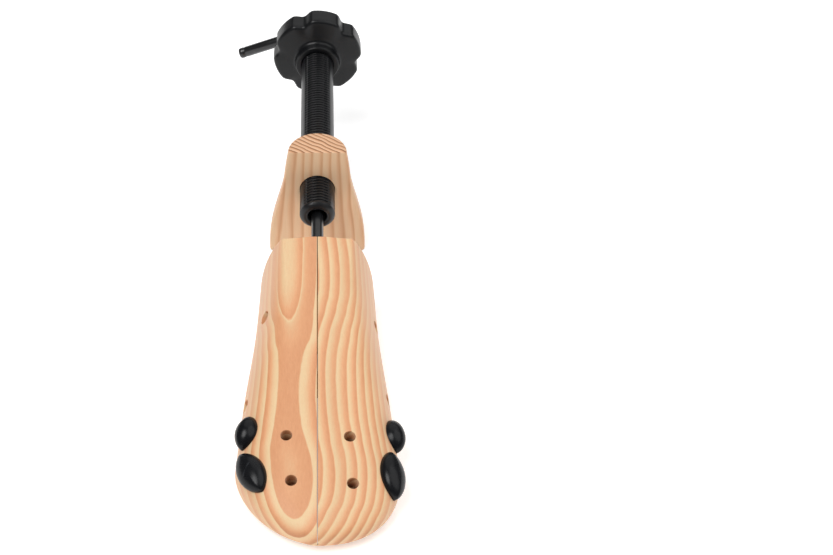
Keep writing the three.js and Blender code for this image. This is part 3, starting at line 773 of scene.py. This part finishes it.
def seat(side, rear, front):
    """The frame of a seat on the toe block's skin: z stands out and x points forward along the seat."""
    y, around = (rear[0] + front[0]) / 2, (rear[1] + front[1]) / 2
    along = toe_point(side, *front) - toe_point(side, *rear)
    lengthwise = toe_point(side, y - 0.5, around) - toe_point(side, y + 0.5, around)
    upward = toe_point(side, y, around + 0.01) - toe_point(side, y, around - 0.01)
    out = np.cross(lengthwise, upward)
    out *= np.sign(out[0] * side["toward"]) / np.linalg.norm(out)
    across = np.cross(out, along)
    across /= np.linalg.norm(across)
    return np.stack([np.cross(across, out), across, out, toe_point(side, y, around)], 1)


def hole_tool(place, radius, flare):
    """A round hole with a slightly flared mouth."""
    profile = [(radius, -HOLE_DEPTH), (radius, -0.5), (radius + flare, 0.35), (radius + flare, 4)]
    return turned("tool", profile, place, 40)


def mechanism_room():
    """Everything hollowed out of the toe block for the rod, the frame, the wedge and the pins."""
    plate_rear = WEDGE_REAR - WEDGE_TRAVEL - 0.5
    half = FRAME_HALF_WIDTH + CLEARANCE
    room = [
        bar(ROD_RADIUS + 0.5, 60, LUG_FRONT + 6),
        block((-half, half), (FRAME_BOTTOM - CLEARANCE, 7), (plate_rear, LUG_FRONT + CLEARANCE)),
        block((-24.4, 24.4), (-3 - CLEARANCE, 3 + CLEARANCE), (plate_rear, WEDGE_FRONT + 0.5)),
        bar(6, LUG_FRONT, ROD_TIP + 2),
    ]
    pin_room = GUIDE_PINS["radius"] + CLEARANCE
    for forward, reach in GUIDE_PINS["at"]:
        room.append(cross_bar(pin_room, reach + CLEARANCE, GUIDE_PINS["drop"], forward))
    return room


def toe_half(side):
    piece = loft("toe", [half_section(side, y, -inset) for y, inset in toe_stations()])
    pin_radius = DRIVE_PIN["radius"] + 0.1
    tools = mechanism_room()
    tools.append(upright_bar([(pin_radius, -40), (pin_radius, DRIVE_PIN["top"] + 0.1)],
                             side["toward"] * DRIVE_PIN["across"], DRIVE_PIN["forward"]))
    for at, rear, front, _ in PLUG_SEATS.values():
        if at is side:
            tools.append(hole_tool(seat(side, rear, front), PLUG_PEG["radius"] + CLEARANCE, 0))
    for holes in (CREST_HOLES, SIDE_HOLES):
        for at, y, around in holes["at"]:
            if at is side:
                place = seat(side, (y + 1, around), (y - 1, around))
                tools.append(hole_tool(place, holes["radius"], HOLE_FLARE))
    return smooth(combine(piece, tools))


def grown_toe():
    """The whole block, a little oversize, to hollow the plugs' undersides to the skin they sit on."""
    rings = []
    for y, _ in toe_stations(CLEARANCE)[REAR_EDGE_STEPS:]:
        sides = []
        for side in (MEDIAL, LATERAL):
            _, _, _, sole, _, _ = toe_sizes(side, y, CLEARANCE)
            skin = [toe_point(side, y, around, CLEARANCE) for around in np.linspace(0, 1, 60)]
            sides.append([(0, y, sole), *sole_edge(side, y, CLEARANCE), *skin])
        rings.append(np.array([*sides[0], *reversed(sides[1][1:-1])]))
    return loft("tool", rings)


def plug(side, rear, front, size):
    """A domed plug with a pointed-oval outline and a round peg."""
    length, width, height = size
    place = seat(side, rear, front)
    angles = np.arange(96) * (2 * math.pi / 96)
    x = length / 2 * np.cos(angles)
    y = width / 2 * np.sign(np.sin(angles)) * np.abs(np.sin(angles)) ** 1.35
    rings = []
    dome = [(math.cos(turn), height * math.sin(turn)) for turn in np.linspace(0, math.radians(88), 22)]
    for scale, lift in [(1, -4), *dome]:
        rings.append(placed(np.stack([x * scale, y * scale, np.full(96, lift)], 1), place))
    piece = combine(loft("plug", rings), [grown_toe()])
    radius, length = PLUG_PEG["radius"], PLUG_PEG["length"]
    peg = turned("tool", [(radius - 0.5, -length), (radius, 0.7 - length), (radius, 1)], place, 40)
    return smooth(combine(piece, [peg], "UNION"), 50)


# ---- Tube, knob and rod ----


def threaded_tube():
    """A tube whose thread shows on its top and bottom, between smooth rails along its sides."""
    sides = 96
    angles = np.arange(sides) * (2 * math.pi / sides)
    thread_end = KNOB_FRONT + 6
    ridged = smoothstep(np.abs(np.sin(angles)), 0.68, 0.8)
    outer_front = TUBE_FRONT - TUBE_CHAMFER
    step = THREAD_PITCH / 9
    inner = ROD_RADIUS + 0.5
    mouth = TUBE_FRONT - TUBE_MOUTH_DEPTH
    profile = [(inner, TUBE_REAR), (TUBE_RADIUS, TUBE_REAR)]
    profile += [(TUBE_RADIUS, forward) for forward in np.arange(thread_end, outer_front - 0.2, step)]
    profile += [
        (TUBE_RADIUS, outer_front),
        (TUBE_RADIUS - 0.4 * TUBE_CHAMFER, TUBE_FRONT - 0.5 * TUBE_CHAMFER),
        (TUBE_RADIUS - TUBE_CHAMFER, TUBE_FRONT),
        (TUBE_MOUTH_RADIUS + TUBE_LIP, TUBE_FRONT),
        (TUBE_MOUTH_RADIUS, TUBE_FRONT - TUBE_LIP),
        (TUBE_MOUTH_RADIUS, mouth),
        (inner, mouth),
    ]
    rings = []
    for radius, forward in profile:
        ring = circle(radius, forward, sides)
        if radius == TUBE_RADIUS:
            phase = forward / THREAD_PITCH - angles / (2 * math.pi)
            groove = smoothstep(np.cos(2 * math.pi * phase), -0.5, 0.6)
            fade = smoothstep(forward, thread_end, thread_end + 1) * smoothstep(outer_front - forward, 0, 1)
            ring[:, :2] *= (1 - (THREAD_RECESS + THREAD_DEPTH * groove) / radius * ridged * fade)[:, None]
        rings.append(placed(ring, AXIS))
    return smooth(loft("tube", rings, looped=True), 50)


def knob_ring(radius, forward):
    """One ring of the knob. Its lobes fade out from the rim to the round hub."""
    steps = 40 * KNOB_LOBES
    pitch = 360 / KNOB_LOBES
    degrees = np.arange(steps) * (360 / steps)
    from_valley = np.abs((degrees - KNOB_FIRST_VALLEY + pitch / 2) % pitch - pitch / 2)
    dip = np.where(from_valley < KNOB_VALLEY_HALF_ANGLE,
                   np.cos(np.radians(90) * from_valley / KNOB_VALLEY_HALF_ANGLE) ** 2, 0)
    lobing = max(min((radius - HUB_RADIUS) / (KNOB_RADIUS - 2.5 - HUB_RADIUS), 1), 0) ** 1.9
    reach = radius - KNOB_VALLEY_DEPTH * dip * lobing
    angles = np.radians(degrees)
    return np.stack([reach * np.cos(angles), reach * np.sin(angles), np.full(steps, forward)], 1)


def knob():
    """The knob, turned from its outline with rings close enough together to carry the lobes."""
    back = KNOB_FRONT - KNOB_THICKNESS
    socket = TUBE_REAR - 0.2
    outline = rounded([
        (ROD_RADIUS + 0.5, back, 0.4),
        (KNOB_RADIUS, back, 2.8),
        (KNOB_RADIUS, KNOB_FRONT - 0.6, 2.7),
        (HUB_RADIUS - 0.6, KNOB_FRONT + 2.3, 3.0),
        (HUB_RADIUS - 1.3, KNOB_FRONT + 8, 1.0),
        (TUBE_RADIUS + 0.15, KNOB_FRONT + 8, 0.3),
        (TUBE_RADIUS + 0.15, socket, 0.2),
        (ROD_RADIUS + 0.5, socket, 0.2),
    ])
    rings = []
    for i, point in enumerate(outline):
        before = np.array(outline[i - 1])
        leap = np.array(point) - before
        steps = max(int(np.linalg.norm(leap) / RING_SPACING), 1)
        for share in np.linspace(0, 1, steps, endpoint=False)[1:]:
            rings.append(before + leap * share)
        rings.append(point)
    piece = loft("knob", [placed(knob_ring(*at), AXIS) for at in rings], looped=True)
    screw = upright_bar([(2.15, -18), (2.15, -6.6)], 0, KNOB_FRONT + 4.6)
    return smooth(combine(piece, [screw]), 40)


def spindle_rod():
    """The steel rod: a journal at the front, then straight back and bent over as the lever."""
    lever = np.array([-math.cos(LEVER_DROOP), -math.sin(LEVER_DROOP), 0])
    forward = np.array([0, 0, 1])
    side = np.cross(forward, lever)
    angles = np.arange(40) * (2 * math.pi / 40)
    rings = []

    def ring(centre, across, radius):
        spokes = np.outer(np.cos(angles), across) + np.outer(np.sin(angles), side)
        rings.append(placed(centre + radius * spokes, AXIS))

    groove = CIRCLIP_GROOVE
    for z, radius in [
        (ROD_TIP, JOURNAL_RADIUS - 0.8), (ROD_TIP - 0.8, JOURNAL_RADIUS),
        (groove["to"], JOURNAL_RADIUS), (groove["to"], groove["radius"]),
        (groove["from"], groove["radius"]), (groove["from"], JOURNAL_RADIUS),
        (ROD_SHOULDER, JOURNAL_RADIUS), (ROD_SHOULDER, ROD_RADIUS),
    ]:
        ring(forward * z, lever, radius)
    for turn in np.linspace(0, math.pi / 2, 20):
        centre = forward * (LEVER_AXIS + LEVER_BEND * (1 - math.sin(turn)))
        centre = centre + lever * (LEVER_BEND * (1 - math.cos(turn)))
        ring(centre, lever * math.cos(turn) + forward * math.sin(turn), ROD_RADIUS)
    for along, radius in [
        (LEVER_LENGTH - 5, ROD_RADIUS), (LEVER_LENGTH - 4.7, ROD_RADIUS - 0.2),
        (LEVER_LENGTH - 3.8, ROD_RADIUS - 0.2), (LEVER_LENGTH - 3.5, ROD_RADIUS),
        (LEVER_LENGTH - 1.2, ROD_RADIUS), (LEVER_LENGTH - 0.5, ROD_RADIUS - 0.25),
        (LEVER_LENGTH - 0.1, ROD_RADIUS - 0.8), (LEVER_LENGTH, ROD_RADIUS - 1.4),
    ]:
        ring(forward * LEVER_AXIS + lever * along, forward, radius)
    return smooth(loft("rod", rings), 40)


# ---- Assembly ----

finish_piece(heel_block(), "heel_block_carved", "heel", "heel_block", heel_wood)
finish_piece(toe_half(LATERAL), "toe_half_left_carved", "toe_left", "toe_half_left", left_wood)
finish_piece(toe_half(MEDIAL), "toe_half_right_carved", "toe_right", "toe_half_right", right_wood)
for node, layout in PLUG_SEATS.items():
    body = node.removeprefix("plug_") + "_plug"
    finish_piece(plug(*layout), node + "_domed", body, node, plug_gloss)
finish_piece(threaded_tube(), "threaded_tube_ribbed", "handle", "threaded_tube", tube_satin)
finish_piece(knob(), "knob_lobed", "handle", "knob", knob_plastic)
finish_piece(spindle_rod(), "spindle_rod_bent", "spindle", "spindle_rod", black_steel)

CARRIED = {
    "knob_set_screw": black_steel,
    "thrust_collar": black_steel,
    "stop_collar": black_steel,
    "rod_circlip": black_steel,
    "wedge_nut": brass,
}
for node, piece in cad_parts.items():
    if piece.hide_render:
        continue
    for slot in piece.material_slots:
        slot.material = CARRIED.get(node, zinc_steel)
    weld = piece.modifiers.new("weld", "WELD")
    weld.merge_threshold = 0.01 * MM
    soft_edge = piece.modifiers.new("soft edge", "BEVEL")
    soft_edge.width = 0.15 * MM
    soft_edge.segments = 2
    soft_edge.limit_method = "ANGLE"
    soft_edge.angle_limit = math.radians(35)


# ---- Stage, light and camera ----

FLOOR_HALF = 20000
SKY_LIGHT = 0.16
CAMERA_DISTANCE = 0.8256
CAMERA_ELEVATION = math.radians(40)
CAMERA_TARGET = Vector((0, -0.0484, 0))
CAMERA_LENS = 58.34
CAMERA_SHIFT = 0.119


def build_floor():
    made, tree, shader = new_material("pale_floor")
    point = surface_point(tree)
    cloud = noise(tree, point, (300, 300, 300), 1.0, 1.0)
    connect(tree, shader.inputs["Base Color"], mix(tree, cloud, linear("F7F7F7"), linear("FBFBFB")))
    shader.inputs["Roughness"].default_value = 0.9
    shader.inputs["Specular IOR Level"].default_value = 0.1
    shader.inputs["Emission Color"].default_value = (1.0, 1.0, 1.0, 1.0)
    shader.inputs["Emission Strength"].default_value = 0.38
    corners = [(-1, -1), (1, -1), (1, 1), (-1, 1)]
    floor = make_object("floor", [(x * FLOOR_HALF, y * FLOOR_HALF, 0) for x, y in corners], [(0, 1, 2, 3)])
    floor.location.z = cad_box[0].z - 0.05 * MM
    floor.data.materials.append(made)


def soft_light(name, place, spread, power):
    """A large, far soft light that comes from the given side."""
    data = bpy.data.lights.new(name, "SUN")
    data.angle = math.radians(spread)
    data.energy = power
    lamp = bpy.data.objects.new(name, data)
    bpy.context.scene.collection.objects.link(lamp)
    lamp.rotation_mode = "QUATERNION"
    lamp.rotation_quaternion = Vector(place).to_track_quat("Z", "Y")


def build_lights():
    soft_light("key", (-0.45, -0.35, 1.0), spread=35, power=1.78)
    soft_light("fill", (0.7, -0.1, 1.0), spread=60, power=1.05)
    soft_light("back", (0.1, 0.8, 0.9), spread=60, power=0.55)
    world = bpy.data.worlds.new("studio")
    world.use_nodes = True
    tree = world.node_tree
    sky = tree.nodes["Background"]
    sky.inputs["Color"].default_value = (1.0, 1.0, 1.0, 1.0)
    seen = Value(tree, add_node(tree, "LightPath").outputs["Is Camera Ray"])
    connect(tree, sky.inputs["Strength"], seen * (1 - SKY_LIGHT) + SKY_LIGHT)
    bpy.context.scene.world = world


def build_camera():
    data = bpy.data.cameras.new("camera")
    data.sensor_width = 36
    data.lens = CAMERA_LENS
    data.shift_x = CAMERA_SHIFT
    camera = bpy.data.objects.new("camera", data)
    bpy.context.scene.collection.objects.link(camera)
    back = Vector((0, -math.cos(CAMERA_ELEVATION), math.sin(CAMERA_ELEVATION)))
    camera.location = CAMERA_TARGET + back * CAMERA_DISTANCE
    camera.rotation_mode = "QUATERNION"
    camera.rotation_quaternion = back.to_track_quat("Z", "Y")
    bpy.context.scene.camera = camera


build_floor()
build_lights()
build_camera()
bpy.context.scene.view_settings.view_transform = "Standard"

bpy.context.view_layer.update()
